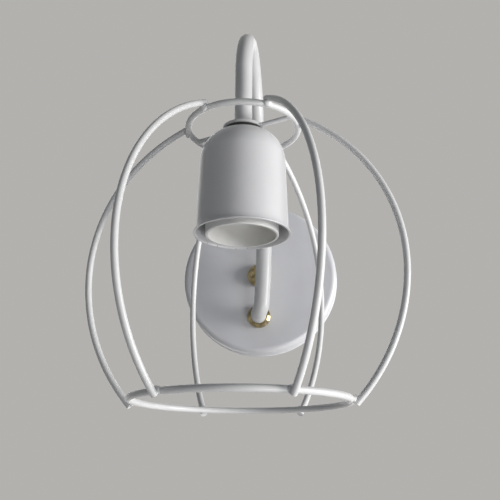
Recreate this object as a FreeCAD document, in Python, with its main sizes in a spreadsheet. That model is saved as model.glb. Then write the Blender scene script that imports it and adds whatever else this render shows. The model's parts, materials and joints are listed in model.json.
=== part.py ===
"""Cage wall light: a wall plate, a swan-neck tube, a bell cup with an E27 lampholder and a globe cage.

The origin is the centre of the plate on the wall plane. The wall lies at +Y, the lamp hangs towards -Y
and +Z is up. Lengths are in millimetres and angles in degrees.
"""
import FreeCAD, Part
import math
import os
import re
import Sketcher

Vector = FreeCAD.Vector

# Sizes that can each be set by themselves.
SIZES = {
    # the lamp's place
    "reach": 113.0,              # lamp axis to the wall
    "rim_level": -5.0,           # mouth of the cup, seen from the plate's centre
    "fit_gap": 0.05,             # radial play between a tube or stud and what is threaded on it
    "hole_gap": 0.3,             # radial play in a punched hole
    # wall plate
    "plate_dia": 103.0,
    "plate_depth": 14.0,
    "plate_wall": 1.2,
    "plate_edge_r": 3.2,
    "collar_drop": 28.0,         # arm entry below the plate's centre
    # wall bracket
    "bracket_length": 88.0,
    "bracket_width": 15.0,
    "bracket_thick": 2.0,
    "screw_spacing": 60.0,
    "slot_length": 15.0,
    "slot_width": 4.6,
    "earth_offset": 14.0,
    "earth_screw_dia": 4.0,
    "earth_head_dia": 7.6,
    "earth_head_height": 2.6,
    "earth_tag_dia": 9.0,
    "earth_tag_thick": 0.8,
    "earth_tab_length": 9.0,
    "earth_tab_width": 6.3,
    # centre stud and the two brass nuts
    "stud_dia": 6.0,
    "stud_nut_flats": 10.0,
    "stud_nut_height": 4.0,
    "brass_dia": 15.0,
    "brass_band": 2.4,
    "brass_bevel": 1.6,
    "brass_dome": 1.6,
    "stud_end_gap": 0.5,
    # arm
    "tube_dia": 10.0,
    "tube_wall": 1.0,
    "tube_tail": 5.2,            # from the wall to the tube's rear end
    "elbow_r": 7.5,
    "elbow_neck": 0.8,           # straight tube between the collar and the elbow
    "loop_r": 38.0,
    "loop_top": 133.0,           # tube centre line at the top of the loop
    "lock_flats": 14.0,
    "lock_thick": 3.0,
    "washer_dia": 18.0,
    "washer_thick": 1.0,
    "flex_dia": 6.4,
    "flex_tail": 4.0,            # flex showing past each end of the tube
    # cage
    "rod_dia": 3.5,
    "cross_rod_dia": 2.6,
    "weld_sink": 0.35,           # how far welded rods melt into each other
    "cage_radius": 85.0,         # widest centre line of the bowed wires
    "widest_drop": 19.4,         # widest level below the cup's mouth
    "top_ring_r": 30.8,
    "bottom_ring_r": 54.8,
    "bottom_ring_drop": 87.4,    # lower ring below the cup's mouth
    "wire_over": 1.6,            # wire end past the weld at the top ring
    "cross_angle": 66.0,         # crossbar from straight ahead, towards +X
    "spacer_dia": 21.5,          # fibre washer that lifts the hub off the cup
    "spacer_thick": 1.2,
    "hub_dia": 23.5,
    "hub_thick": 1.6,
    "stop_nut_dia": 15.0,
    "stop_nut_height": 2.2,
    # socket cup
    "cup_rim_dia": 52.2,
    "cup_flare": 1.2,
    "cup_flare_height": 5.0,
    "cup_taper": 2.0,
    "cup_shoulder_r": 18.0,
    "cup_height": 60.6,
    "cup_wall": 1.0,
    # lampholder
    "holder_dia": 39.4,
    "skirt_wall": 1.3,
    "skirt_proud": 0.8,          # skirt below the cup's mouth
    "dish_depth": 14.0,
    "dish_thick": 1.8,
    "lip_r": 0.5,
    "thread_dia": 26.6,
    "shell_wall": 0.4,
    "shell_length": 12.2,
    "shell_seat": 1.2,           # shell end held in the insert
    "shell_gap": 0.6,
    "well_step": 1.4,
    "insert_dia": 33.4,
    "insert_height": 14.0,
    "well_depth": 6.0,
    "spigot_height": 6.0,
    "cap_band": 7.0,
    "cap_dome": 12.0,
    "neck_dia": 14.0,
    "neck_height": 3.6,
    "cap_wall": 2.4,
    "terminal_room": 5.0,
    "leg_grip": 6.5,             # tube threaded into the holder cap
    "clamp_height": 3.0,         # nut and washer between the cup and the holder cap
    "leg_washer_dia": 11.0,
    "leg_washer_thick": 0.6,
    # sprung contact
    "contact_dia": 7.0,
    "contact_thick": 2.0,
    "contact_dome": 0.9,
    "contact_travel": 1.5,
    "stem_dia": 2.6,
    "spring_dia": 5.4,
    "spring_wire": 0.6,
    "spring_room": 5.0,
    "spring_seat": 0.1,
    "clip_dia": 5.0,
    "clip_thick": 0.8,
    "terminal_offset": 9.0,
    "terminal_head_dia": 5.5,
    "terminal_head_height": 2.0,
    "running_gap": 0.06,
}

# Sizes that follow from the ones above.
DERIVED = {
    "plate_r": "plate_dia / 2",
    "plate_inner_r": "plate_r - plate_wall",
    "plate_inside": "plate_depth - plate_wall",
    "tube_r": "tube_dia / 2",
    "tube_bore_r": "tube_r - tube_wall",
    "tube_hole_r": "tube_r + fit_gap",
    "stud_r": "stud_dia / 2",
    "stud_hole_r": "stud_r + fit_gap",
    "brass_r": "brass_dia / 2",
    "brass_top_r": "brass_r - brass_bevel",
    "brass_shoulder": "plate_depth + brass_band + brass_bevel",
    "brass_dome_r": "(brass_top_r^2 + brass_dome^2) / (2 * brass_dome)",
    "stud_end": "brass_shoulder - stud_end_gap",
    # arm: straight neck, elbow, long riser bow, loop, straight leg
    "neck_end": "brass_shoulder + elbow_neck",
    "loop_level": "loop_top - loop_r",
    "loop_back": "reach - 2 * loop_r",
    "bow_out": "loop_back - neck_end - elbow_r",
    "bow_up": "loop_level + collar_drop - elbow_r",
    "lean": "2 * atan(bow_out / bow_up) / 1deg",
    "bow_r": "elbow_r + bow_up / sin(lean)",
    "elbow_end_out": "neck_end + elbow_r * cos(lean)",
    "elbow_end_up": "elbow_r * (1 - sin(lean)) - collar_drop",
    # stack on the front leg, from the cup's top
    "cup_top": "rim_level + cup_height",
    "hub_low": "cup_top + spacer_thick",
    "hub_top": "hub_low + hub_thick",
    "hub_mid": "hub_low + hub_thick / 2",
    "cup_inside": "cup_top - cup_wall",
    "neck_top": "cup_inside - clamp_height",
    "cap_shoulder": "neck_top - neck_height",
    "band_top": "cap_shoulder - cap_dome",
    "cap_base": "band_top - cap_band",
    "leg_end": "neck_top - leg_grip",
    # cup outline
    "cup_rim_r": "cup_rim_dia / 2",
    "cup_body_r": "cup_rim_r - cup_flare",
    "flare_top": "rim_level + cup_flare_height",
    "flare_r": "(cup_flare_height^2 + cup_flare^2) / (2 * cup_flare)",
    "shoulder_level": "cup_top - cup_shoulder_r * (1 - sin(cup_taper))",
    "shoulder_out": "cup_body_r - (shoulder_level - flare_top) * tan(cup_taper)",
    "shoulder_mid": "shoulder_out - cup_shoulder_r * cos(cup_taper)",
    "shoulder_inner_r": "cup_shoulder_r - cup_wall",
    # cage
    "rod_r": "rod_dia / 2",
    "cross_rod_r": "cross_rod_dia / 2",
    "hub_r": "hub_dia / 2",
    "ring_level": "hub_mid",
    "widest_level": "rim_level - widest_drop",
    "bottom_ring_level": "rim_level - bottom_ring_drop",
    "weld_pitch": "rod_dia - weld_sink",
    "upper_out": "cage_radius - top_ring_r",
    "upper_up": "ring_level - widest_level",
    "upper_bow_r": "(upper_out^2 + upper_up^2 - weld_pitch^2) / (2 * (upper_out - weld_pitch))",
    "upper_turn": "asin(upper_up / (upper_bow_r - weld_pitch)) / 1deg",
    "upper_over": "wire_over / upper_bow_r * 180 / pi",
    "lower_out": "cage_radius - bottom_ring_r",
    "lower_down": "widest_level - bottom_ring_level",
    "lower_bow_r": "(lower_out^2 + lower_down^2 - weld_pitch^2) / (2 * (lower_out - weld_pitch))",
    "lower_turn": "asin(lower_down / (lower_bow_r - weld_pitch)) / 1deg",
    "cross_length": "top_ring_r - rod_r + weld_sink",
    # lampholder
    "holder_r": "holder_dia / 2",
    "skirt_inner_r": "holder_r - skirt_wall",
    "skirt_low": "rim_level - skirt_proud",
    "dish_low": "skirt_low + dish_depth",
    "dish_high": "dish_low + dish_thick",
    "thread_r": "thread_dia / 2",
    "shell_r": "thread_r + shell_wall",
    "dish_hole_r": "shell_r + shell_gap",
    "insert_r": "insert_dia / 2",
    "cap_bore_r": "insert_r + running_gap",
    "spigot_r": "skirt_inner_r - fit_gap",
    "spigot_low": "cap_base - spigot_height",
    "insert_top": "band_top - cap_wall",
    "insert_low": "insert_top - insert_height",
    "well_top": "insert_low + well_depth",
    "well_r": "thread_r - well_step",
    "shell_hole_r": "shell_r + fit_gap",
    "shell_top": "insert_low + shell_seat",
    "shell_low": "shell_top - shell_length",
    "room_r": "insert_r - cap_wall",
    "room_top": "insert_top + terminal_room",
    "neck_r": "neck_dia / 2",
    "cap_dome_out": "holder_r - neck_r",
    "cap_dome_r": "(cap_dome_out^2 + cap_dome^2) / (2 * cap_dome_out)",
    # sprung contact
    "contact_r": "contact_dia / 2",
    "contact_high": "well_top - contact_travel - running_gap",
    "contact_low": "contact_high - contact_thick",
    "contact_dome_r": "(contact_r^2 + contact_dome^2) / (2 * contact_dome)",
    "stem_r": "stem_dia / 2",
    "stem_hole_r": "stem_r + running_gap",
    "stem_top": "insert_top + running_gap + clip_thick",
    "spring_r": "spring_dia / 2",
    "spring_inner_r": "spring_r - spring_wire",
    "spring_hole_r": "spring_r + 2 * running_gap",
    "spring_high": "well_top + spring_room",
    "clip_r": "clip_dia / 2",
}

WIRE_ANGLES = (-34, 30, 83, 151, 208, 266)   # from straight ahead, towards +X; set by eye, so not even

doc = FreeCAD.newDocument("CageWallLight")
sheet = doc.addObject("Spreadsheet::Sheet", "Sizes")
for row, (name, size) in enumerate({**SIZES, **DERIVED}.items(), 1):
    sheet.set(f"A{row}", name)
    sheet.set(f"B{row}", f"={size}" if name in DERIVED else str(size))
    sheet.setAlias(f"B{row}", name)
doc.recompute()

parts = {}


def value(expression):
    """Number that an expression of sheet names gives."""
    return float(sheet.evalExpression(str(expression)))


def linked(expression):
    """The same expression as another object reads it from the sheet."""
    def prefix(match):
        word = match.group(0)
        return f"Sizes.{word}" if word in SIZES or word in DERIVED else word
    return re.sub(r"[a-z][a-z_]+", prefix, str(expression))


def bind(thing, sizes):
    """Bind each named property of an object to an expression of sheet names."""
    for name, expression in sizes.items():
        thing.setExpression(name, linked(expression))
    return thing


# Where a turned piece sits: its axis is the lamp's, the plate's or the arm's entry.
OUTWARD = FreeCAD.Rotation(Vector(1, 0, 0), 90)   # a piece's own +Z points out of the wall
UPRIGHT = FreeCAD.Rotation()
SEATS = {
    "lamp": (UPRIGHT, "0", "-reach", "{up}"),
    "plate": (OUTWARD, "0", "-({up})", "0"),
    "entry": (OUTWARD, "0", "-({up})", "-collar_drop"),
}


def seat(thing, where, up="0"):
    """Put a piece on one of the three axes, raised along it by an expression."""
    rotation, x, y, z = SEATS[where]
    thing.Placement = FreeCAD.Placement(Vector(), rotation)
    return bind(thing, {
        "Placement.Base.x": x,
        "Placement.Base.y": y.format(up=up),
        "Placement.Base.z": z.format(up=up),
    })


def new_sketch(body, plane, name):
    """Sketch on one of the body's own origin planes."""
    sketch = body.newObject("Sketcher::SketchObject", f"{body.Name}_{name}")
    support = [item for item in body.Origin.OriginFeatures if item.Role == plane]
    sketch.AttachmentSupport = [(support[0], "")]
    sketch.MapMode = "FlatFace"
    return sketch


def pin(sketch, edge, end, x, y):
    """Hold one end or centre of a sketch edge at a place given by expressions."""
    for kind, expression in (("DistanceX", x), ("DistanceY", y)):
        number = sketch.addConstraint(Sketcher.Constraint(kind, -1, 1, edge, end, value(expression)))
        sketch.setExpression(f"Constraints[{number}]", linked(expression))


def arc_between(start, stop, radius):
    """Arc from start to stop; a positive radius has its centre on the left of the way."""
    middle = (start + stop) / 2
    along = (stop - start).normalize()
    left = Vector(-along.y, along.x, 0)
    half = (stop - start).Length / 2
    side = 1 if radius > 0 else -1
    centre = middle + left * side * math.sqrt(max(radius * radius - half * half, 0))
    circle = Part.Circle(centre, Vector(0, 0, 1), abs(radius))
    first, last = (start, stop) if radius > 0 else (stop, start)
    angles = [math.atan2(point.y - centre.y, point.x - centre.x) for point in (first, last)]
    return Part.ArcOfCircle(circle, angles[0], angles[1])


def draw(sketch, points, closed=True):
    """Line and arc outline through points (x, y) or (x, y, radius of the arc that leaves it)."""
    spots = [Vector(value(point[0]), value(point[1]), 0) for point in points]
    count = len(points) if closed else len(points) - 1
    ends = []
    for index in range(count):
        start, stop = spots[index], spots[(index + 1) % len(points)]
        if len(points[index]) == 3:
            radius = value(points[index][2])
            edge = sketch.addGeometry(arc_between(start, stop, radius))
            ends.append((edge, 1, 2) if radius > 0 else (edge, 2, 1))
            number = sketch.addConstraint(Sketcher.Constraint("Radius", edge, abs(radius)))
            sign = "" if radius > 0 else "-"
            sketch.setExpression(f"Constraints[{number}]", linked(f"{sign}({points[index][2]})"))
        else:
            edge = sketch.addGeometry(Part.LineSegment(start, stop))
            ends.append((edge, 1, 2))
    for index in range(count if closed else count - 1):
        edge, _, tail = ends[index]
        other, head, _ = ends[(index + 1) % count]
        sketch.addConstraint(Sketcher.Constraint("Coincident", edge, tail, other, head))
    for index in range(count):
        pin(sketch, ends[index][0], ends[index][1], points[index][0], points[index][1])
    if not closed:
        pin(sketch, ends[-1][0], ends[-1][2], points[-1][0], points[-1][1])
    return sketch


def draw_circle(sketch, x, y, radius):
    """Circle with its centre and radius given by expressions."""
    edge = sketch.addGeometry(Part.Circle(Vector(value(x), value(y), 0), Vector(0, 0, 1), value(radius)))
    pin(sketch, edge, 3, x, y)
    number = sketch.addConstraint(Sketcher.Constraint("Radius", edge, value(radius)))
    sketch.setExpression(f"Constraints[{number}]", linked(radius))


def turn_about(body, sketch, axis, angle="360", backwards=False):
    """Revolve a sketch about one of its own axes."""
    feature = body.newObject("PartDesign::Revolution", f"{sketch.Name}_turned")
    feature.Profile = sketch
    feature.ReferenceAxis = (sketch, [axis])
    feature.Reversed = backwards
    bind(feature, {"Angle": angle})
    sketch.Visibility = False
    return feature


def turned(name, where, outline):
    """Body of revolution: outline points are (radius, height) on the seat's axis."""
    body = doc.addObject("PartDesign::Body", name)
    turn_about(body, draw(new_sketch(body, "XZ_Plane", "outline"), outline), "V_Axis")
    seat(body, where)
    parts[name] = body
    return body


def ring_outline(inner, outer, low, high):
    """Rectangle of a washer or sleeve."""
    return [(inner, low), (outer, low), (outer, high), (inner, high)]


def pocket_through(body, sketch):
    """Cut a sketch right through the body, both ways from its plane."""
    doc.recompute()
    before = body.Shape.Volume
    feature = body.newObject("PartDesign::Pocket", f"{sketch.Name}_cut")
    feature.Profile = sketch
    feature.Type = "ThroughAll"
    feature.Midplane = True
    doc.recompute()
    if body.Shape.Volume >= before:
        raise RuntimeError(f"{feature.Name} removes nothing")
    return feature


def primitive(kind, name, sizes, where, up="0"):
    """Part primitive with its sizes bound, on one of the seats."""
    return seat(bind(doc.addObject(f"Part::{kind}", name), sizes), where, up)


def cut(name, base, tool):
    """Base less tool."""
    result = doc.addObject("Part::Cut", name)
    result.Base = base
    result.Tool = tool
    return result


def hex_nut(name, where, flats, bore, low, thick):
    """Plain hexagon nut, its bore a clear hole round what is threaded through it."""
    block = primitive("Prism", f"{name}_block", {"Circumradius": f"{flats} / sqrt(3)", "Height": thick}, where, low)
    block.Polygon = 6
    hole = primitive("Cylinder", f"{name}_hole", {"Radius": bore, "Height": thick}, where, low)
    parts[name] = cut(name, block, hole)


def slot_outline(middle, length, width):
    """Round-ended slot along x, centred on the x axis, each end in two quarter arcs."""
    end = f"({length} - {width}) / 2"
    tip = f"{length} / 2"
    half = f"{width} / 2"
    return [
        (f"{middle} - {end}", f"-{half}"),
        (f"{middle} + {end}", f"-{half}", half),
        (f"{middle} + {tip}", "0", half),
        (f"{middle} + {end}", half),
        (f"{middle} - {end}", half, half),
        (f"{middle} - {tip}", "0", half),
    ]


# ---------------------------------------------------------------- wall bracket
def make_wall_bracket():
    """Slotted strap on the wall, with a tapped centre and an earth hole."""
    body = doc.addObject("PartDesign::Body", "wall_bracket")
    strap = new_sketch(body, "XY_Plane", "strap")
    draw(strap, slot_outline("0", "bracket_length", "bracket_width"))
    pad = body.newObject("PartDesign::Pad", "wall_bracket_pad")
    pad.Profile = strap
    bind(pad, {"Length": "bracket_thick"})
    seat(body, "plate")
    for index, middle in enumerate(("-screw_spacing / 2", "screw_spacing / 2")):
        slot = new_sketch(body, "XY_Plane", f"slot_{index + 1}")
        draw(slot, slot_outline(middle, "slot_length", "slot_width"))
        pocket_through(body, slot)
    holes = new_sketch(body, "XY_Plane", "holes")
    draw_circle(holes, "0", "0", "stud_hole_r")
    draw_circle(holes, "earth_offset", "0", "earth_screw_dia / 2 + fit_gap")
    pocket_through(body, holes)
    parts["wall_bracket"] = body


def make_earth_terminal():
    """Pan-head earth screw on the bracket and the push-on tag under its head."""
    place = {"Placement.Base.x": "earth_offset"}
    tag_top = "bracket_thick + earth_tag_thick"
    shank = primitive("Cylinder", "earth_shank",
                      {"Radius": "earth_screw_dia / 2", "Height": tag_top}, "plate")
    head = primitive("Cylinder", "earth_head",
                     {"Radius": "earth_head_dia / 2", "Height": "earth_head_height"}, "plate", tag_top)
    screw = doc.addObject("Part::Fuse", "earth_screw")
    screw.Base = bind(shank, place)
    screw.Tool = bind(head, place)
    parts["earth_screw"] = screw
    eye = primitive("Cylinder", "earth_tag_eye",
                    {"Radius": "earth_tag_dia / 2", "Height": "earth_tag_thick"}, "plate", "bracket_thick")
    tab = primitive("Box", "earth_tag_tab",
                    {"Length": "earth_tab_width", "Width": "earth_tag_dia / 2 + earth_tab_length",
                     "Height": "earth_tag_thick"}, "plate", "bracket_thick")
    hole = primitive("Cylinder", "earth_tag_hole",
                     {"Radius": "earth_screw_dia / 2 + fit_gap", "Height": "earth_tag_thick"},
                     "plate", "bracket_thick")
    blank = doc.addObject("Part::Fuse", "earth_tag_blank")
    blank.Base = bind(eye, place)
    blank.Tool = bind(tab, {"Placement.Base.x": "earth_offset - earth_tab_width / 2"})
    parts["earth_tag"] = cut("earth_tag", blank, bind(hole, place))


# ------------------------------------------------- plate, stud and brass nuts
def make_plate_group():
    """Shallow pressed pan, its centre stud and nuts, and the ring nut of the arm."""
    body = turned("backplate", "plate", [
        ("plate_r", "0"),
        ("plate_r", "plate_depth - plate_edge_r", "plate_edge_r"),
        ("plate_r - plate_edge_r", "plate_depth"),
        ("stud_r + hole_gap", "plate_depth"),
        ("stud_r + hole_gap", "plate_inside"),
        ("plate_r - plate_edge_r", "plate_inside", "-(plate_edge_r - plate_wall)"),
        ("plate_inner_r", "plate_depth - plate_edge_r"),
        ("plate_inner_r", "0"),
    ])
    entry = new_sketch(body, "XY_Plane", "entry_hole")
    draw_circle(entry, "0", "-collar_drop", "tube_r + hole_gap")
    pocket_through(body, entry)
    turned("fixing_stud", "plate", [
        ("0", "0"), ("stud_r", "0"), ("stud_r", "stud_end"), ("0", "stud_end"),
    ])
    hex_nut("stud_nut", "plate", "stud_nut_flats", "stud_hole_r", "bracket_thick", "stud_nut_height")
    turned("fixing_nut", "plate", [
        ("stud_hole_r", "plate_depth"),
        ("brass_r", "plate_depth"),
        ("brass_r", "plate_depth + brass_band"),
        ("brass_top_r", "brass_shoulder", "brass_dome_r"),
        ("0", "brass_shoulder + brass_dome"),
        ("0", "brass_shoulder"),
        ("stud_hole_r", "brass_shoulder"),
    ])
    turned("arm_collar", "entry", [
        ("tube_hole_r", "plate_depth"),
        ("brass_r", "plate_depth"),
        ("brass_r", "plate_depth + brass_band"),
        ("brass_top_r", "brass_shoulder"),
        ("tube_hole_r", "brass_shoulder"),
    ])
    turned("arm_lock_washer", "entry",
           ring_outline("tube_hole_r", "washer_dia / 2", "plate_inside - washer_thick", "plate_inside"))
    hex_nut("arm_lock_nut", "entry", "lock_flats", "tube_hole_r",
            "plate_inside - washer_thick - lock_thick", "lock_thick")


# ------------------------------------------------------------------ arm tube
def arm_path(sketch, tail, leg):
    """Centre line in the Y-Z plane: neck, elbow, bowed riser, loop and front leg."""
    return draw(sketch, [
        (f"-({tail})", "-collar_drop"),
        ("-neck_end", "-collar_drop", "-elbow_r"),
        ("-elbow_end_out", "elbow_end_up", "-bow_r"),
        ("-loop_back", "loop_level", "loop_r"),
        ("-(loop_back + loop_r)", "loop_top", "loop_r"),
        ("-reach", "loop_level"),
        ("-reach", leg),
    ], closed=False)


def swept(name, tail, leg, radii):
    """Round bar or tube along the arm's centre line."""
    body = doc.addObject("PartDesign::Body", name)
    path = arm_path(new_sketch(body, "YZ_Plane", "path"), tail, leg)
    section = new_sketch(body, "XZ_Plane", "section")
    section.AttachmentOffset = FreeCAD.Placement(Vector(0, 0, value(tail)), UPRIGHT)
    bind(section, {"AttachmentOffset.Base.z": tail})
    for radius in radii:
        draw_circle(section, "0", "-collar_drop", radius)
    pipe = body.newObject("PartDesign::AdditivePipe", f"{name}_pipe")
    pipe.Profile = section
    pipe.Spine = path
    parts[name] = body
    doc.recompute()
    area = math.pi * abs(value(radii[0])**2 - (value(radii[1])**2 if len(radii) > 1 else 0))
    print(f"{name}: volume {body.Shape.Volume:.0f}, section times length {area * path.Shape.Length:.0f}")


# ---------------------------------------------------------------------- cage
def make_cage():
    """Two rings, a hub with a crossbar, and six bowed wires welded outside the rings."""
    rings = []
    for name, radius, level in (("cage_top_ring", "top_ring_r", "ring_level"),
                                ("cage_bottom_ring", "bottom_ring_r", "bottom_ring_level")):
        ring = primitive("Torus", name, {"Radius1": radius, "Radius2": "rod_r"}, "lamp", level)
        parts[name] = ring
        rings.append(ring)
    turned("hub_spacer", "lamp", ring_outline("tube_hole_r", "spacer_dia / 2", "cup_top", "hub_low"))
    turned("cage_hub", "lamp", ring_outline("tube_hole_r", "hub_r", "hub_low", "hub_top"))
    make_crossbar(rings[0])
    both = doc.addObject("Part::Compound", "ring_pair")
    both.Links = rings
    for number, angle in enumerate(WIRE_ANGLES, 1):
        make_wire(f"cage_wire_{number}", angle, both)


def make_crossbar(ring):
    """Two rods from the hub to the top ring, coped to both."""
    rods = []
    for index, turn in enumerate(("cross_angle", "cross_angle + 180")):
        rod = primitive("Cylinder", f"cross_rod_{index + 1}",
                        {"Radius": "cross_rod_r", "Height": "cross_length"}, "lamp", "ring_level")
        rods.append(bind(rod, {
            "Placement.Rotation.Axis.x": f"cos({turn})",
            "Placement.Rotation.Axis.y": f"sin({turn})",
            "Placement.Rotation.Axis.z": "0",
            "Placement.Rotation.Angle": "90",
        }))
    pair = doc.addObject("Part::Compound", "cross_rods")
    pair.Links = rods
    disc = primitive("Cylinder", "hub_disc", {"Radius": "hub_r", "Height": "cross_rod_dia * 2"},
                     "lamp", "ring_level - cross_rod_dia")
    parts["cage_crossbar"] = cut("cage_crossbar", cut("cross_rods_coped", pair, disc), ring)


def make_wire(name, angle, rings):
    """Bowed wire: two arcs that meet upright at the widest level, notched where it is welded."""
    body = doc.addObject("PartDesign::Body", f"{name}_rod")
    for half, bow, swing, up in (("upper", "upper_bow_r", "upper_turn + upper_over", True),
                                 ("lower", "lower_bow_r", "lower_turn", False)):
        sketch = new_sketch(body, "XY_Plane", half)
        bind(sketch, {"AttachmentOffset.Base.z": "widest_level"})
        draw_circle(sketch, "0", "-cage_radius", "rod_r")
        axis = sketch.addGeometry(Part.LineSegment(Vector(-1, 0, 0), Vector(1, 0, 0)), True)
        pin(sketch, axis, 1, "-rod_r", f"{bow} - cage_radius")
        pin(sketch, axis, 2, "rod_r", f"{bow} - cage_radius")
        turn_about(body, sketch, "Axis0", swing, backwards=up)
    body.Placement = FreeCAD.Placement(Vector(), FreeCAD.Rotation(Vector(0, 0, 1), angle))
    bind(body, {"Placement.Base.y": "-reach"})
    parts[name] = cut(name, body, rings)


# ------------------------------------------------------ socket cup and its nuts
def make_cup_group():
    """Bell-shaped spun cup, open below, with the nuts that clamp it and the hub on the tube."""
    turned("socket_cup", "lamp", [
        ("cup_rim_r", "rim_level", "-flare_r"),
        ("cup_body_r", "flare_top"),
        ("shoulder_out", "shoulder_level", "cup_shoulder_r"),
        ("shoulder_mid", "cup_top"),
        ("tube_r + hole_gap", "cup_top"),
        ("tube_r + hole_gap", "cup_inside"),
        ("shoulder_mid", "cup_inside", "-shoulder_inner_r"),
        ("shoulder_mid + shoulder_inner_r * cos(cup_taper)", "shoulder_level - cup_wall * sin(cup_taper)"),
        ("cup_body_r - cup_wall", "flare_top", "flare_r + cup_wall"),
        ("cup_rim_r - cup_wall", "rim_level"),
    ])
    turned("leg_stop_nut", "lamp",
           ring_outline("tube_hole_r", "stop_nut_dia / 2", "hub_top", "hub_top + stop_nut_height"))
    turned("leg_lock_washer", "lamp",
           ring_outline("tube_hole_r", "leg_washer_dia / 2", "cup_inside - leg_washer_thick", "cup_inside"))
    hex_nut("leg_lock_nut", "lamp", "lock_flats", "tube_hole_r", "neck_top", "clamp_height - leg_washer_thick")


# --------------------------------------------------------------- lampholder
def make_holder():
    """Cap on the tube, skirt on the cap's spigot, and the insert with its brass shell."""
    turned("holder_cap", "lamp", [
        ("cap_bore_r", "spigot_low"),
        ("spigot_r", "spigot_low"),
        ("spigot_r", "cap_base"),
        ("holder_r", "cap_base"),
        ("holder_r", "band_top", "cap_dome_r"),
        ("neck_r", "cap_shoulder"),
        ("neck_r", "neck_top"),
        ("tube_hole_r", "neck_top"),
        ("tube_hole_r", "leg_end"),
        ("flex_dia / 2 + running_gap", "leg_end"),
        ("room_r", "room_top"),
        ("room_r", "insert_top"),
        ("cap_bore_r", "insert_top"),
    ])
    turned("holder_skirt", "lamp", [
        ("skirt_inner_r", "skirt_low"),
        ("holder_r - lip_r", "skirt_low", "lip_r"),
        ("holder_r", "skirt_low + lip_r"),
        ("holder_r", "cap_base"),
        ("skirt_inner_r", "cap_base"),
        ("skirt_inner_r", "dish_high"),
        ("dish_hole_r", "dish_high"),
        ("dish_hole_r", "dish_low"),
        ("skirt_inner_r", "dish_low"),
    ])
    turned("holder_insert", "lamp", [
        ("shell_hole_r", "insert_low"),
        ("insert_r", "insert_low"),
        ("insert_r", "insert_top"),
        ("stem_hole_r", "insert_top"),
        ("stem_hole_r", "spring_high"),
        ("spring_hole_r", "spring_high"),
        ("spring_hole_r", "well_top"),
        ("well_r", "well_top"),
        ("well_r", "shell_top"),
        ("shell_hole_r", "shell_top"),
    ])
    turned("screw_shell", "lamp", ring_outline("thread_r", "shell_r", "shell_low", "shell_top"))
    turned("centre_contact", "lamp", [
        ("0", "contact_low - contact_dome", "contact_dome_r"),
        ("contact_r", "contact_low"),
        ("contact_r", "contact_high"),
        ("stem_r", "contact_high"),
        ("stem_r", "stem_top"),
        ("0", "stem_top"),
    ])
    turned("contact_spring", "lamp",
           ring_outline("spring_inner_r", "spring_r", "contact_high + spring_seat", "spring_high - spring_seat"))
    turned("contact_clip", "lamp",
           ring_outline("stem_r", "clip_r", "stem_top - clip_thick", "stem_top"))
    make_terminal_screws()


def make_terminal_screws():
    """Two terminal screws on top of the insert, one for each side of the lamp's circuit."""
    heads = []
    for index, side in enumerate(("-terminal_offset", "terminal_offset")):
        head = primitive("Cylinder", f"terminal_screw_{index + 1}",
                         {"Radius": "terminal_head_dia / 2", "Height": "terminal_head_height"},
                         "lamp", "insert_top")
        heads.append(bind(head, {"Placement.Base.x": side}))
    screws = doc.addObject("Part::Compound", "terminal_screws")
    screws.Links = heads
    parts["terminal_screws"] = screws


make_wall_bracket()
make_earth_terminal()
make_plate_group()
swept("arm_tube", "tube_tail", "leg_end", ("tube_r", "tube_bore_r"))
swept("lamp_flex", "tube_tail - flex_tail", "leg_end - flex_tail", ("flex_dia / 2",))
make_cage()
make_cup_group()
make_holder()
doc.recompute()

for item in doc.Objects:
    if "Invalid" in item.State or "Error" in item.State:
        raise RuntimeError(f"{item.Name} did not compute: {item.State}")
for name, item in parts.items():
    if item.Shape.isNull() or not item.Shape.isValid() or not item.Shape.Solids:
        raise RuntimeError(f"{name} is not a sound solid")

os.makedirs("parts", exist_ok=True)
for name, item in parts.items():
    item.Label = name
    shape = item.Shape
    shape.exportStep(f"parts/{name}.step")
    box = shape.optimalBoundingBox()
    print(f"{name}: {len(shape.Solids)} solid, {shape.Volume:.0f} mm3, "
          f"x {box.XMin:.1f}..{box.XMax:.1f} y {box.YMin:.1f}..{box.YMax:.1f} z {box.ZMin:.1f}..{box.ZMax:.1f}")
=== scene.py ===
"""Looks of the cage wall light: satin white paint, brass nuts, a white lampholder and soft studio light."""
import json
import math

import bpy
from mathutils import Matrix, Vector, noise


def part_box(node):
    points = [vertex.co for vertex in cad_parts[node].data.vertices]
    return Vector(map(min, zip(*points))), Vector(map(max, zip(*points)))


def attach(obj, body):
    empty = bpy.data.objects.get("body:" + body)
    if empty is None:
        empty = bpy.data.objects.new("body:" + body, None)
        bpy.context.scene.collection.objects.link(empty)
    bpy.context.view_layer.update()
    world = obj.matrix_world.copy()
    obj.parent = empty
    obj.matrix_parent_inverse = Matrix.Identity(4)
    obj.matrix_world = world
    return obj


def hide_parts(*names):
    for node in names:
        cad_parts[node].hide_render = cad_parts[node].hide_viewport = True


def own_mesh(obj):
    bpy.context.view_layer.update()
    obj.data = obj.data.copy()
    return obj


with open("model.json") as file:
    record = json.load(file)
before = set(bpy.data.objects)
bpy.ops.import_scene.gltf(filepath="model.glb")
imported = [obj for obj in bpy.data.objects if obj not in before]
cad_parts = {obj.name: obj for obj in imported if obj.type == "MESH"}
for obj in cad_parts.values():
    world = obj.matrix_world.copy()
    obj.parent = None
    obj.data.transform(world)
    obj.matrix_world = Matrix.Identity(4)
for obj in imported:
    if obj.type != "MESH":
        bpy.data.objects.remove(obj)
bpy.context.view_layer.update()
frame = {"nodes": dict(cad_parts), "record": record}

# ------------------------------------------------------------------ named values
MM = 0.001
PHOTO_PIXELS = 500
FOCAL_PIXELS = 690.1
CAMERA_PLACE = (0.0416, -0.4590, -0.1274)
CAMERA_YAW, CAMERA_PITCH, CAMERA_ROLL = 6.15, 18.08, 0.37    # degrees
SENSOR = 36.0
NEAR_CLIP = 0.01

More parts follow.
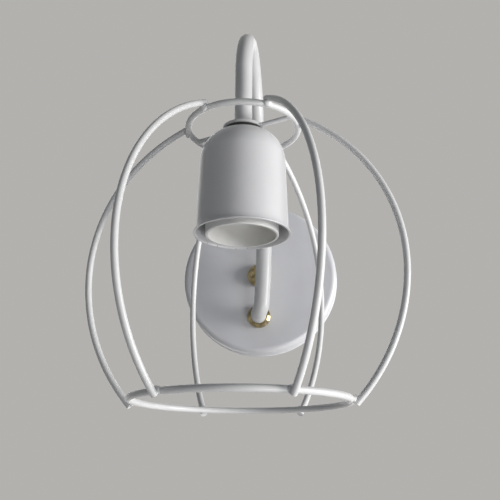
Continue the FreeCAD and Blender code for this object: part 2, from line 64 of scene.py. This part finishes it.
BACKDROP = (0.45, 0.44, 0.425)
SKY = (0.90, 0.95, 1.0)
SKY_STRENGTH = 0.115
FLOOR_LEVEL = -0.90
FLOOR_HALF = 3.0
FLOOR_SHARE = 0.8            # how much of the floor that the camera sees is the even backdrop colour

# Studio lamps: place, width and height, watts and colour. They all look at STUDIO_TARGET.
STUDIO_TARGET = (0.0, -0.10, 0.0)
STUDIO_LAMPS = {
    "key": ((1.576, -0.375, -0.12), (0.6, 0.8), 22.3, (1.0, 0.99, 0.97)),
    "fill": ((0.567, -0.621, -0.855), (0.6, 0.6), 6.2, (0.97, 0.98, 1.0)),
    "back": ((-0.40, 1.60, 0.55), (2.0, 2.0), 10.0, (0.98, 0.99, 1.0)),
}

# The arm's centre line as the part has it, and the sideways bow that the photograph shows.
TUBE_R = 5.0 * MM
LOOP_R = 38.0 * MM
ELBOW_R = 7.5 * MM
NECK_END = 18.8 * MM
LEG_END = 45.1 * MM
FLEX_TAIL = 4.0 * MM
SIDE_BOW = 4.7 * MM
BOW_SHARE = 0.82             # how much of the half wave the riser itself takes
BOW_LOW = 1.1                # above 1, the bow starts gently and sits low

# Cage, in degrees from straight ahead towards +X, and the slit in its hub.
WIRE_ANGLES = (-34, 30, 83, 151, 208, 266)
CROSS_ANGLE = 66.0
ROD_R = 1.75 * MM
SPLIT_ANGLE = -17.0
SPLIT_GAP = 0.7 * MM
SPLIT_LEAN = 1.4 * MM

# Threads, spring, lips and weld beads.
THREAD_PITCH = 1.0 * MM
ARM_THREAD_LENGTH = 13.0 * MM
ARM_THREAD_DEPTH = 0.5 * MM
STUD_THREAD_DEPTH = 0.45 * MM
LAMP_PITCH = 3.63 * MM
LAMP_THREAD_DEPTH = 0.75 * MM
SHELL_WALL = 0.4 * MM
SPRING_WIRE_R = 0.3 * MM
SPRING_SLACK = 0.97          # keeps the coil's wire just inside the sleeve that it stands for
SPRING_TURNS = 4.5
CUP_LIP_R = 0.55 * MM
PLATE_LIP_R = 0.7 * MM
RING_BEAD = (2.6 * MM, 2.2 * MM, 1.3 * MM)     # half sizes along, up and out
CROSS_BEAD = (2.0 * MM, 1.1 * MM, 1.2 * MM)
SHARP_ANGLE = 40             # degrees; flatter edges are shaded smooth

# The lamp's axis and the arm's top, entry and far end, read from the frame.
arm_low, arm_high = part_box("arm_tube")
LAMP_Y = arm_low.y + TUBE_R
LOOP_TOP = arm_high.z - TUBE_R
ENTRY_Z = arm_low.z + TUBE_R
TUBE_END = arm_high.y


# ------------------------------------------------------------------ materials
def new_material(name, colour, roughness, **extra):
    """Principled material with its plain values on the shader's own sockets."""
    material = bpy.data.materials.new(name)
    material.use_nodes = True
    shader = material.node_tree.nodes["Principled BSDF"]
    shader.inputs["Base Color"].default_value = (*colour, 1.0)
    shader.inputs["Roughness"].default_value = roughness
    for socket, value in extra.items():
        shader.inputs[socket.replace("_", " ")].default_value = value
    return material, shader


def add_node(material, kind, **values):
    """Shader node with properties or input values set by name."""
    node = material.node_tree.nodes.new(kind)
    for name, value in values.items():
        if hasattr(node, name):
            setattr(node, name, value)
        else:
            node.inputs[name.replace("_", " ")].default_value = value
    return node


def join(material, source, target):
    """Link an output socket to an input socket."""
    material.node_tree.links.new(source, target)


def object_noise(material, scale, detail=3.0, roughness=0.55):
    """Noise in the object's own coordinates."""
    place = add_node(material, "ShaderNodeTexCoord")
    cloud = add_node(material, "ShaderNodeTexNoise", Scale=scale, Detail=detail, Roughness=roughness)
    join(material, place.outputs["Object"], cloud.inputs["Vector"])
    return cloud.outputs["Fac"]


def ramp(material, source, stops):
    """Colour ramp with (place, colour) stops."""
    node = add_node(material, "ShaderNodeValToRGB")
    elements = node.color_ramp.elements
    while len(elements) < len(stops):
        elements.new(0.5)
    for element, (place, colour) in zip(elements, stops):
        element.position = place
        element.color = (*colour, 1.0)
    join(material, source, node.inputs["Fac"])
    return node.outputs["Color"]


def spread(material, source, low, high):
    """Map 0..1 onto low..high."""
    node = add_node(material, "ShaderNodeMapRange", To_Min=low, To_Max=high)
    join(material, source, node.inputs["Value"])
    return node.outputs["Result"]


def add_bump(material, shader, source, strength, distance):
    """Bump from a height."""
    bump = add_node(material, "ShaderNodeBump", Strength=strength, Distance=distance)
    join(material, source, bump.inputs["Height"])
    join(material, bump.outputs["Normal"], shader.inputs["Normal"])


def mixed(material, factor, first, second):
    """Colour between a socket (0) and a plain colour (1); 6, 7 and 2 are the node's colour sockets."""
    node = add_node(material, "ShaderNodeMix", data_type="RGBA")
    join(material, factor, node.inputs["Factor"])
    join(material, first, node.inputs[6])
    node.inputs[7].default_value = (*second, 1.0)
    return node.outputs[2]


def combine(material, operation, first, second):
    """Math node on a socket and a socket or number."""
    node = add_node(material, "ShaderNodeMath", operation=operation)
    join(material, first, node.inputs[0])
    if isinstance(second, float):
        node.inputs[1].default_value = second
    else:
        join(material, second, node.inputs[1])
    return node.outputs["Value"]


def specks(material, scale, size, share):
    """1 in round specks of that size in metres, in that share of the cells; 0 elsewhere."""
    place = add_node(material, "ShaderNodeTexCoord")
    cells = add_node(material, "ShaderNodeTexVoronoi", Scale=scale)
    join(material, place.outputs["Object"], cells.inputs["Vector"])
    near = combine(material, "LESS_THAN", cells.outputs["Distance"], size * scale)
    tint = add_node(material, "ShaderNodeSeparateColor")
    join(material, cells.outputs["Color"], tint.inputs["Color"])
    chosen = combine(material, "LESS_THAN", tint.outputs["Red"], share)
    return combine(material, "MULTIPLY", near, chosen)


def band(material, axis, low, high):
    """1 where the object's own coordinate lies between two levels."""
    place = add_node(material, "ShaderNodeTexCoord")
    parts = add_node(material, "ShaderNodeSeparateXYZ")
    join(material, place.outputs["Object"], parts.inputs["Vector"])
    above = combine(material, "GREATER_THAN", parts.outputs[axis], low)
    below = combine(material, "LESS_THAN", parts.outputs[axis], high)
    return combine(material, "MULTIPLY", above, below)


PIT_COLOUR = (0.30, 0.29, 0.28)
CHIP_COLOUR = (0.33, 0.32, 0.31)


def paint(name, tone, peel, chipped=None):
    """Satin powder coat: slight drift of tone, soft orange peel, a few pits, and chips along one edge."""
    material, shader = new_material(name, tone, 0.34, Coat_Weight=0.15, Coat_Roughness=0.22)
    low = tuple(0.965 * part for part in tone)
    high = tuple(1.015 * part for part in tone)
    colour = ramp(material, object_noise(material, 28.0), [(0.35, low), (0.65, high)])
    colour = mixed(material, specks(material, 34.0, 0.28 * MM, 0.4), colour, PIT_COLOUR)
    if chipped:
        chips = combine(material, "MULTIPLY", specks(material, 620.0, 0.4 * MM, 0.22),
                        band(material, "Z", *chipped))
        colour = mixed(material, chips, colour, CHIP_COLOUR)
    join(material, colour, shader.inputs["Base Color"])
    join(material, spread(material, object_noise(material, 160.0), 0.28, 0.42), shader.inputs["Roughness"])
    add_bump(material, shader, object_noise(material, 420.0, 2.0), peel, 0.06 * MM)
    return material


def brass(name, colour, roughness):
    """Turned brass, dulled in patches, with brighter rubbed places."""
    material, shader = new_material(name, colour, roughness, Metallic=1.0)
    dull = tuple(0.3 * part for part in colour)
    rubbed = tuple(1.4 * part for part in colour)
    stops = [(0.32, dull), (0.52, colour), (0.72, rubbed)]
    join(material, ramp(material, object_noise(material, 260.0, 4.0), stops), shader.inputs["Base Color"])
    join(material, spread(material, object_noise(material, 500.0), roughness * 0.6, roughness * 1.6),
         shader.inputs["Roughness"])
    add_bump(material, shader, object_noise(material, 1400.0, 2.0), 0.2, 0.04 * MM)
    return material


def zinc(name):
    """Bright zinc plating, cloudy."""
    material, shader = new_material(name, (0.62, 0.63, 0.64), 0.35, Metallic=1.0)
    stops = [(0.3, (0.50, 0.51, 0.53)), (0.65, (0.68, 0.69, 0.69))]
    join(material, ramp(material, object_noise(material, 150.0), stops), shader.inputs["Base Color"])
    join(material, spread(material, object_noise(material, 400.0), 0.25, 0.5), shader.inputs["Roughness"])
    add_bump(material, shader, object_noise(material, 1500.0, 2.0), 0.1, 0.05 * MM)
    return material


def plastic(name, colour, roughness, grain):
    """Moulded plastic: even colour, faint grain."""
    material, shader = new_material(name, colour, roughness)
    light = tuple(min(1.0, 1.03 * part) for part in colour)
    dark = tuple(0.96 * part for part in colour)
    stops = [(0.35, dark), (0.65, light)]
    join(material, ramp(material, object_noise(material, 60.0), stops), shader.inputs["Base Color"])
    join(material, spread(material, object_noise(material, 300.0), roughness * 0.85, roughness * 1.2),
         shader.inputs["Roughness"])
    add_bump(material, shader, object_noise(material, grain, 2.0), 0.1, 0.06 * MM)
    return material


MATERIALS = {
    "white_paint": paint("satin_white_paint", (0.88, 0.88, 0.885), 0.03),
    "polished_brass": brass("polished_brass", (0.39, 0.32, 0.18), 0.2),
    "zinc_steel": zinc("zinc_plating"),
    "brass_plate": brass("pressed_brass", (0.70, 0.60, 0.36), 0.3),
    "holder_white": plastic("holder_white", (0.84, 0.84, 0.83), 0.3, 600.0),
    "insert_white": plastic("insert_white", (0.80, 0.79, 0.76), 0.55, 900.0),
    "spring_steel": zinc("bright_spring_wire"),
    "flex_sheath": plastic("flex_sheath", (0.76, 0.76, 0.75), 0.5, 600.0),
    # The black fibre washer under the hub is painted shade: a dark part set where the gap between hub and
    # cup is only in shade.
    "black_fibre": plastic("black_fibre", (0.045, 0.043, 0.042), 0.7, 1500.0),
}
RIM_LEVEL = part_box("socket_cup")[0].z
CHIPPED_BAND = (RIM_LEVEL - 1.0 * MM, RIM_LEVEL + 0.9 * MM)
OWN_FINISH = {
    "arm_tube": paint("arm_paint", (0.80, 0.80, 0.81), 0.12),
    # The plate's paint is lighter than the cup's and the arm's: painted light for the extra light that
    # falls on the plate.
    "backplate": paint("plate_paint_painted_light", (0.87, 0.875, 0.91), 0.25),
    "socket_cup": paint("cup_paint", (0.79, 0.79, 0.81), 0.25, CHIPPED_BAND),
}


def dress_cad():
    """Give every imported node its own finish, or else the one of its slot."""
    for part in frame["record"]["subparts"]:
        node = frame["nodes"][part["node"]]
        node.data.materials.clear()
        node.data.materials.append(OWN_FINISH.get(part["node"], MATERIALS[part["material_slot"]]))
        for face in node.data.polygons:
            face.material_index = 0


# ------------------------------------------------------------------ mesh helpers
def new_piece(name, points, faces, slot, node=None, finish=None):
    """Smooth mesh piece on the root body, in the finish given, or else its node's, or else its slot's."""
    mesh = bpy.data.meshes.new(name)
    mesh.from_pydata([tuple(point) for point in points], [], faces)
    mesh.update()
    for face in mesh.polygons:
        face.use_smooth = True
    mesh.set_sharp_from_angle(angle=math.radians(SHARP_ANGLE))
    mesh.materials.append(finish or OWN_FINISH.get(node, MATERIALS[slot]))
    piece = bpy.data.objects.new(name, mesh)
    bpy.context.scene.collection.objects.link(piece)
    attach(piece, "root")
    if node:
        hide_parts(node)
    return piece


def skin(rings, closed_path=False):
    """Faces that join equal rings of points one after another; open ends get a cap."""
    sides = len(rings[0])
    points = [point for ring in rings for point in ring]
    pairs = list(zip(range(len(rings)), range(1, len(rings))))
    if closed_path:
        pairs.append((len(rings) - 1, 0))
    faces = []
    for near, far in pairs:
        for side in range(sides):
            after = (side + 1) % sides
            faces.append((near * sides + side, near * sides + after,
                          far * sides + after, far * sides + side))
    if not closed_path:
        faces.append(tuple(reversed(range(sides))))
        faces.append(tuple((len(rings) - 1) * sides + side for side in range(sides)))
    return points, faces


def circle_point(radius, angle, level):
    """Point on a circle about the lamp's axis, from +X towards the wall."""
    return Vector((radius * math.cos(angle), LAMP_Y + radius * math.sin(angle), level))


def sweep(path, radius_at, sides):
    """Rings of points along a path, kept from twisting; the radius may depend on length and angle."""
    rings = []
    ahead = (path[1] - path[0]).normalized()
    across = ahead.orthogonal().normalized()
    length = 0.0
    for index, place in enumerate(path):
        before = path[max(index - 1, 0)]
        after = path[min(index + 1, len(path) - 1)]
        turned = (after - before).normalized()
        across = (ahead.rotation_difference(turned) @ across).normalized()
        ahead = turned
        over = ahead.cross(across)
        length += (place - before).length
        ring = []
        for side in range(sides):
            angle = 2 * math.pi * side / sides
            reach = radius_at(length, angle)
            ring.append(place + reach * (math.cos(angle) * across + math.sin(angle) * over))
        rings.append(ring)
    return rings


def thread_groove(length, angle, pitch, depth):
    """How far a helical thread cuts below its crest."""
    phase = (length / pitch - angle / (2 * math.pi)) % 1.0
    return depth * (1 - abs(2 * phase - 1))


# ------------------------------------------------------------------ arm
LEG_STEPS, LOOP_STEPS, RISER_STEPS, ELBOW_STEPS, NECK_STEPS = 12, 60, 48, 20, 140


def riser_side(share):
    """Sideways step of the riser, from its top (0) to the elbow (1)."""
    return SIDE_BOW * math.sin(math.pi * (BOW_SHARE * share) ** BOW_LOW)


def elbow_side(share, length):
    """Sideways step of the elbow: it takes up what the riser leaves and ends in line with the neck."""
    small = 0.001
    start = riser_side(1.0)
    slope = (riser_side(1.0) - riser_side(1.0 - small)) / small * length
    return (start * (2 * share ** 3 - 3 * share ** 2 + 1)
            + slope * (share ** 3 - 2 * share ** 2 + share))


def arm_line(leg_end, tail_y):
    """Centre line of the arm: leg, loop, bowed riser, elbow and neck."""
    loop_level = LOOP_TOP - LOOP_R
    loop_back = LAMP_Y + 2 * LOOP_R
    out = -loop_back - NECK_END - ELBOW_R
    up = loop_level - ENTRY_Z - ELBOW_R
    lean = 2 * math.atan2(out, up)
    riser_r = ELBOW_R + up / math.sin(lean)
    elbow_turn = math.pi / 2 - lean
    step_ratio = ELBOW_R * elbow_turn / (riser_r * lean)
    line = []
    for step in range(LEG_STEPS):
        line.append(Vector((0.0, LAMP_Y, leg_end + (loop_level - leg_end) * step / LEG_STEPS)))
    for step in range(LOOP_STEPS):
        turn = math.pi * step / LOOP_STEPS
        line.append(Vector((0.0, LAMP_Y + LOOP_R * (1 - math.cos(turn)),
                            loop_level + LOOP_R * math.sin(turn))))
    for step in range(RISER_STEPS):
        turn = lean * step / RISER_STEPS
        line.append(Vector((riser_side(step / RISER_STEPS), loop_back + riser_r * (1 - math.cos(turn)),
                            loop_level - riser_r * math.sin(turn))))
    for step in range(ELBOW_STEPS):
        turn = lean + elbow_turn * step / ELBOW_STEPS
        line.append(Vector((elbow_side(step / ELBOW_STEPS, step_ratio),
                            -NECK_END - ELBOW_R * math.cos(turn),
                            ENTRY_Z + ELBOW_R * (1 - math.sin(turn)))))
    for step in range(NECK_STEPS + 1):
        line.append(Vector((0.0, -NECK_END + (NECK_END + tail_y) * step / NECK_STEPS, ENTRY_Z)))
    return line


def make_arm():
    """Bent arm tube with its sideways bow and the thread that passes through the plate."""
    line = arm_line(LEG_END, TUBE_END)
    whole = sum((after - before).length for before, after in zip(line, line[1:]))
    plain = whole - ARM_THREAD_LENGTH

    def radius_at(length, angle):
        if length > plain:
            return TUBE_R - thread_groove(length, angle, THREAD_PITCH, ARM_THREAD_DEPTH)
        return TUBE_R

    points, faces = skin(sweep(line, radius_at, 48))
    new_piece("bent_arm", points, faces, "white_paint", "arm_tube")


def make_flex():
    """Sheathed flex inside the bent tube, showing at both ends of it."""
    low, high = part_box("lamp_flex")
    line = arm_line(LEG_END - FLEX_TAIL, high.y)
    points, faces = skin(sweep(line, lambda length, angle: (high.x - low.x) / 2, 20))
    new_piece("bent_flex", points, faces, "flex_sheath", "lamp_flex")


def make_spring():
    """Contact spring as a coil."""
    low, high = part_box("contact_spring")
    coil_r = (high.x - low.x) / 2 - SPRING_WIRE_R
    steps = int(SPRING_TURNS * 24)
    path = []
    for step in range(steps + 1):
        turn = 2 * math.pi * SPRING_TURNS * step / steps
        level = low.z + SPRING_WIRE_R + (high.z - low.z - 2 * SPRING_WIRE_R) * step / steps
        path.append(circle_point(coil_r, turn, level))
    points, faces = skin(sweep(path, lambda length, angle: SPRING_SLACK * SPRING_WIRE_R, 8))
    spring = new_piece("coil_spring", points, faces, "spring_steel", "contact_spring")
    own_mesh(spring)


def make_stud():
    """Threaded stud behind the upper brass nut."""
    low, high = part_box("fixing_stud")
    radius = (high.x - low.x) / 2
    steps = 140
    line = [Vector((0.0, low.y + (high.y - low.y) * step / steps, (low.z + high.z) / 2))
            for step in range(steps + 1)]

    def radius_at(length, angle):
        return radius - thread_groove(length, angle, THREAD_PITCH, STUD_THREAD_DEPTH)

    points, faces = skin(sweep(line, radius_at, 28))
    new_piece("threaded_stud", points, faces, "zinc_steel", "fixing_stud")


# ------------------------------------------------------------------ lampholder
def make_rolled_shell():
    """Screw shell with the round lamp thread rolled into its thin wall."""
    low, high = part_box("screw_shell")
    crest = (high.x - low.x) / 2
    height = high.z - low.z
    rows, sides = 66, 72
    fade_in, fade_out = 1.2 * MM, 1.6 * MM

    def ring(level, inset):
        """One ring of the rolled wall; the roll fades out at both ends."""
        fade = max(0.0, min(1.0, level / fade_in, (height - level) / fade_out))
        circle = []
        for side in range(sides):
            angle = 2 * math.pi * side / sides
            wave = 0.5 - 0.5 * math.cos(2 * math.pi * level / LAMP_PITCH - angle)
            radius = crest - inset - LAMP_THREAD_DEPTH * wave * fade
            circle.append(circle_point(radius, angle, low.z + level))
        return circle

    levels = [height * row / rows for row in range(rows + 1)]
    rings = [ring(level, 0.0) for level in levels]
    rings += [ring(level, SHELL_WALL) for level in reversed(levels)]
    points, faces = skin(rings, closed_path=True)
    new_piece("rolled_shell", points, faces, "brass_plate", "screw_shell")


# ------------------------------------------------------------------ hub and rolled edges
def make_split_hub():
    """Hub disc of the crossbar, with its leaning slit."""
    low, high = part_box("cage_hub")
    outer = (high.x - low.x) / 2
    inner = TUBE_R + 0.1 * MM
    edge = 0.25 * MM
    profile = [(inner, low.z), (outer - edge, low.z), (outer, low.z + edge),
               (outer, high.z - edge), (outer - edge, high.z), (inner, high.z)]
    steps = 96
    start = math.radians(SPLIT_ANGLE) + SPLIT_GAP / 2 / outer
    turn = 2 * math.pi - SPLIT_GAP / outer
    rings = []
    for step in range(steps + 1):
        ring = []
        for radius, level in profile:
            near_slit = 1 - min(1.0, 4 * min(step, steps - step) / steps)
            lean = SPLIT_LEAN / outer * ((level - low.z) / (high.z - low.z) - 0.5) * near_slit
            angle = start + turn * step / steps + lean
            ring.append(Vector((radius * math.sin(angle), LAMP_Y - radius * math.cos(angle), level)))
        rings.append(ring)
    points, faces = skin(rings)
    new_piece("split_hub", points, faces, "white_paint", "cage_hub")


def rolled_edge(name, centre, axis, radius, thickness, node):
    """Thin round bead about an axis, in the finish of the node that it edges."""
    across = axis.orthogonal().normalized()
    over = axis.cross(across)
    rings = []
    steps, sides = 160, 10
    for step in range(steps):
        angle = 2 * math.pi * step / steps
        outward = math.cos(angle) * across + math.sin(angle) * over
        middle = centre + radius * outward
        rings.append([middle + thickness * (math.cos(turn) * outward + math.sin(turn) * axis)
                      for turn in (2 * math.pi * side / sides for side in range(sides))])
    points, faces = skin(rings, closed_path=True)
    new_piece(name, points, faces, "white_paint", finish=OWN_FINISH[node])


def make_rolled_edges():
    """Rolled lip round the cup's mouth and round the wall plate's rear edge."""
    low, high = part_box("socket_cup")
    rolled_edge("cup_lip", Vector((0.0, LAMP_Y, low.z + 0.9 * CUP_LIP_R)), Vector((0.0, 0.0, 1.0)),
                (high.x - low.x) / 2 - CUP_LIP_R, CUP_LIP_R, "socket_cup")
    low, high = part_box("backplate")
    rolled_edge("plate_lip", Vector((0.0, -PLATE_LIP_R, (low.z + high.z) / 2)), Vector((0.0, 1.0, 0.0)),
                (high.x - low.x) / 2 - 0.1 * MM, PLATE_LIP_R, "backplate")


# ------------------------------------------------------------------ welds
def weld_bead(radius, degrees, level, sizes, seed):
    """Rings of a small uneven weld bead beside the lamp's axis, longest across its way out."""
    angle = math.radians(degrees)
    upward = Vector((0.0, 0.0, 1.0))
    outward = Vector((math.sin(angle), -math.cos(angle), 0.0))
    axes = (upward.cross(outward), upward, outward)
    place = Vector((0.0, LAMP_Y, level)) + radius * outward
    rows, sides = 9, 14
    rings = []
    for row in range(1, rows):
        lift = math.pi * row / rows
        ring = []
        for side in range(sides):
            angle = 2 * math.pi * side / sides
            way = Vector((math.cos(lift), math.sin(lift) * math.cos(angle),
                          math.sin(lift) * math.sin(angle)))
            lump = 1.0 + 0.16 * noise.noise(way * 1.7 + Vector((seed, 0.0, 0.0)))
            lump += 0.05 * math.cos(9 * math.cos(lift))
            reach = sum((part * size * axis for part, size, axis in zip(way, sizes, axes)), Vector())
            ring.append(place + lump * reach)
        rings.append(ring)
    return rings


def gather(beads):
    """Points and faces of several beads in one mesh."""
    points, faces = [], []
    for rings in beads:
        bead_points, bead_faces = skin(rings)
        start = len(points)
        points += bead_points
        faces += [tuple(start + corner for corner in face) for face in bead_faces]
    return points, faces


def make_ring_welds():
    """Beads where each wire crosses the two rings, and where the crossbar meets ring and hub."""
    for node in ("cage_top_ring", "cage_bottom_ring"):
        low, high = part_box(node)
        level = (low.z + high.z) / 2
        radius = (high.x - low.x) / 2 - 0.2 * MM
        points, faces = gather([weld_bead(radius, degrees, level, RING_BEAD, 7.0 * number + level * 100)
                                for number, degrees in enumerate(WIRE_ANGLES)])
        new_piece(node.replace("cage", "weld"), points, faces, "white_paint")
    hub_low, hub_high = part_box("cage_hub")
    ring_low, ring_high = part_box("cage_top_ring")
    hub_r = (hub_high.x - hub_low.x) / 2
    ring_inner = (ring_high.x - ring_low.x) / 2 - 2 * ROD_R
    level = (hub_low.z + hub_high.z) / 2
    points, faces = gather([weld_bead(radius, CROSS_ANGLE + side, level, CROSS_BEAD, radius * 900 + side)
                            for side in (0.0, 180.0)
                            for radius in (hub_r + 0.3 * MM, ring_inner - 0.3 * MM)])
    new_piece("weld_crossbar", points, faces, "white_paint")


# ------------------------------------------------------------------ studio
def area_lamp(name, place, size, watts, colour):
    """Wide soft lamp that looks at the light."""
    data = bpy.data.lights.new(name, "AREA")
    data.shape = "RECTANGLE"
    data.size, data.size_y = size
    data.energy = watts
    data.color = colour
    lamp = bpy.data.objects.new(name, data)
    lamp.location = place
    lamp.rotation_mode = "QUATERNION"
    lamp.rotation_quaternion = (Vector(STUDIO_TARGET) - Vector(place)).to_track_quat("-Z", "Y")
    bpy.context.scene.collection.objects.link(lamp)


def make_floor():
    """Wide pale floor below the light."""
    mesh = bpy.data.meshes.new("floor")
    corners = [(FLOOR_HALF * x, FLOOR_HALF * y, FLOOR_LEVEL)
               for x, y in ((-1, -1), (1, -1), (1, 1), (-1, 1))]
    mesh.from_pydata(corners, [], [(0, 1, 2, 3)])
    floor = bpy.data.objects.new("floor", mesh)
    bpy.context.scene.collection.objects.link(floor)
    material, shader = new_material("pale_floor", BACKDROP, 0.9)
    seen = add_node(material, "ShaderNodeEmission", Color=(*BACKDROP, 1.0))
    output = material.node_tree.nodes["Material Output"]
    show_when_seen(material.node_tree, shader.outputs["BSDF"], seen.outputs["Emission"],
                   FLOOR_SHARE, output)
    mesh.materials.append(material)


def show_when_seen(tree, lighting, seen, share, output):
    """A shader for rays that carry light, and a share of another for camera, glossy and clear rays."""
    path = tree.nodes.new("ShaderNodeLightPath")
    looking = path.outputs["Is Camera Ray"]
    for ray in ("Is Glossy Ray", "Is Transmission Ray"):
        either = tree.nodes.new("ShaderNodeMath")
        either.operation = "MAXIMUM"
        tree.links.new(looking, either.inputs[0])
        tree.links.new(path.outputs[ray], either.inputs[1])
        looking = either.outputs["Value"]
    part = tree.nodes.new("ShaderNodeMath")
    part.operation = "MULTIPLY"
    part.inputs[1].default_value = share
    mix = tree.nodes.new("ShaderNodeMixShader")
    tree.links.new(looking, part.inputs[0])
    tree.links.new(part.outputs["Value"], mix.inputs["Fac"])
    tree.links.new(lighting, mix.inputs[1])
    tree.links.new(seen, mix.inputs[2])
    tree.links.new(mix.outputs["Shader"], output.inputs["Surface"])


def make_world():
    """Soft sky that lights the object and shows as the pale backdrop."""
    world = bpy.data.worlds.new("studio")
    world.use_nodes = True
    bpy.context.scene.world = world
    tree = world.node_tree
    tree.nodes.clear()
    output = tree.nodes.new("ShaderNodeOutputWorld")
    soft = tree.nodes.new("ShaderNodeBackground")
    soft.inputs["Color"].default_value = (*SKY, 1.0)
    soft.inputs["Strength"].default_value = SKY_STRENGTH
    seen = tree.nodes.new("ShaderNodeBackground")
    seen.inputs["Color"].default_value = (*BACKDROP, 1.0)
    show_when_seen(tree, soft.outputs["Background"], seen.outputs["Background"], 1.0, output)


def make_camera():
    """Camera at the photograph's place, looking up at the light."""
    yaw, pitch, roll = (math.radians(angle) for angle in (CAMERA_YAW, CAMERA_PITCH, CAMERA_ROLL))
    ahead = Vector((-math.sin(yaw) * math.cos(pitch), math.cos(yaw) * math.cos(pitch), math.sin(pitch)))
    level = Vector((math.cos(yaw), math.sin(yaw), 0.0))
    above = level.cross(ahead)
    right = math.cos(roll) * level + math.sin(roll) * above
    up = math.cos(roll) * above - math.sin(roll) * level
    data = bpy.data.cameras.new("camera")
    data.sensor_width = SENSOR
    data.lens = FOCAL_PIXELS / PHOTO_PIXELS * SENSOR
    data.clip_start = NEAR_CLIP
    camera = bpy.data.objects.new("camera", data)
    turn = Matrix((right, up, -ahead)).transposed().to_4x4()
    camera.matrix_world = Matrix.Translation(CAMERA_PLACE) @ turn
    bpy.context.scene.collection.objects.link(camera)
    bpy.context.scene.camera = camera


dress_cad()
make_arm()
make_flex()
make_spring()
make_stud()
make_rolled_shell()
make_split_hub()
make_rolled_edges()
make_ring_welds()
make_floor()
make_world()
for lamp_name, lamp_facts in STUDIO_LAMPS.items():
    area_lamp(lamp_name, *lamp_facts)
make_camera()
bpy.context.scene.view_settings.view_transform = "Standard"
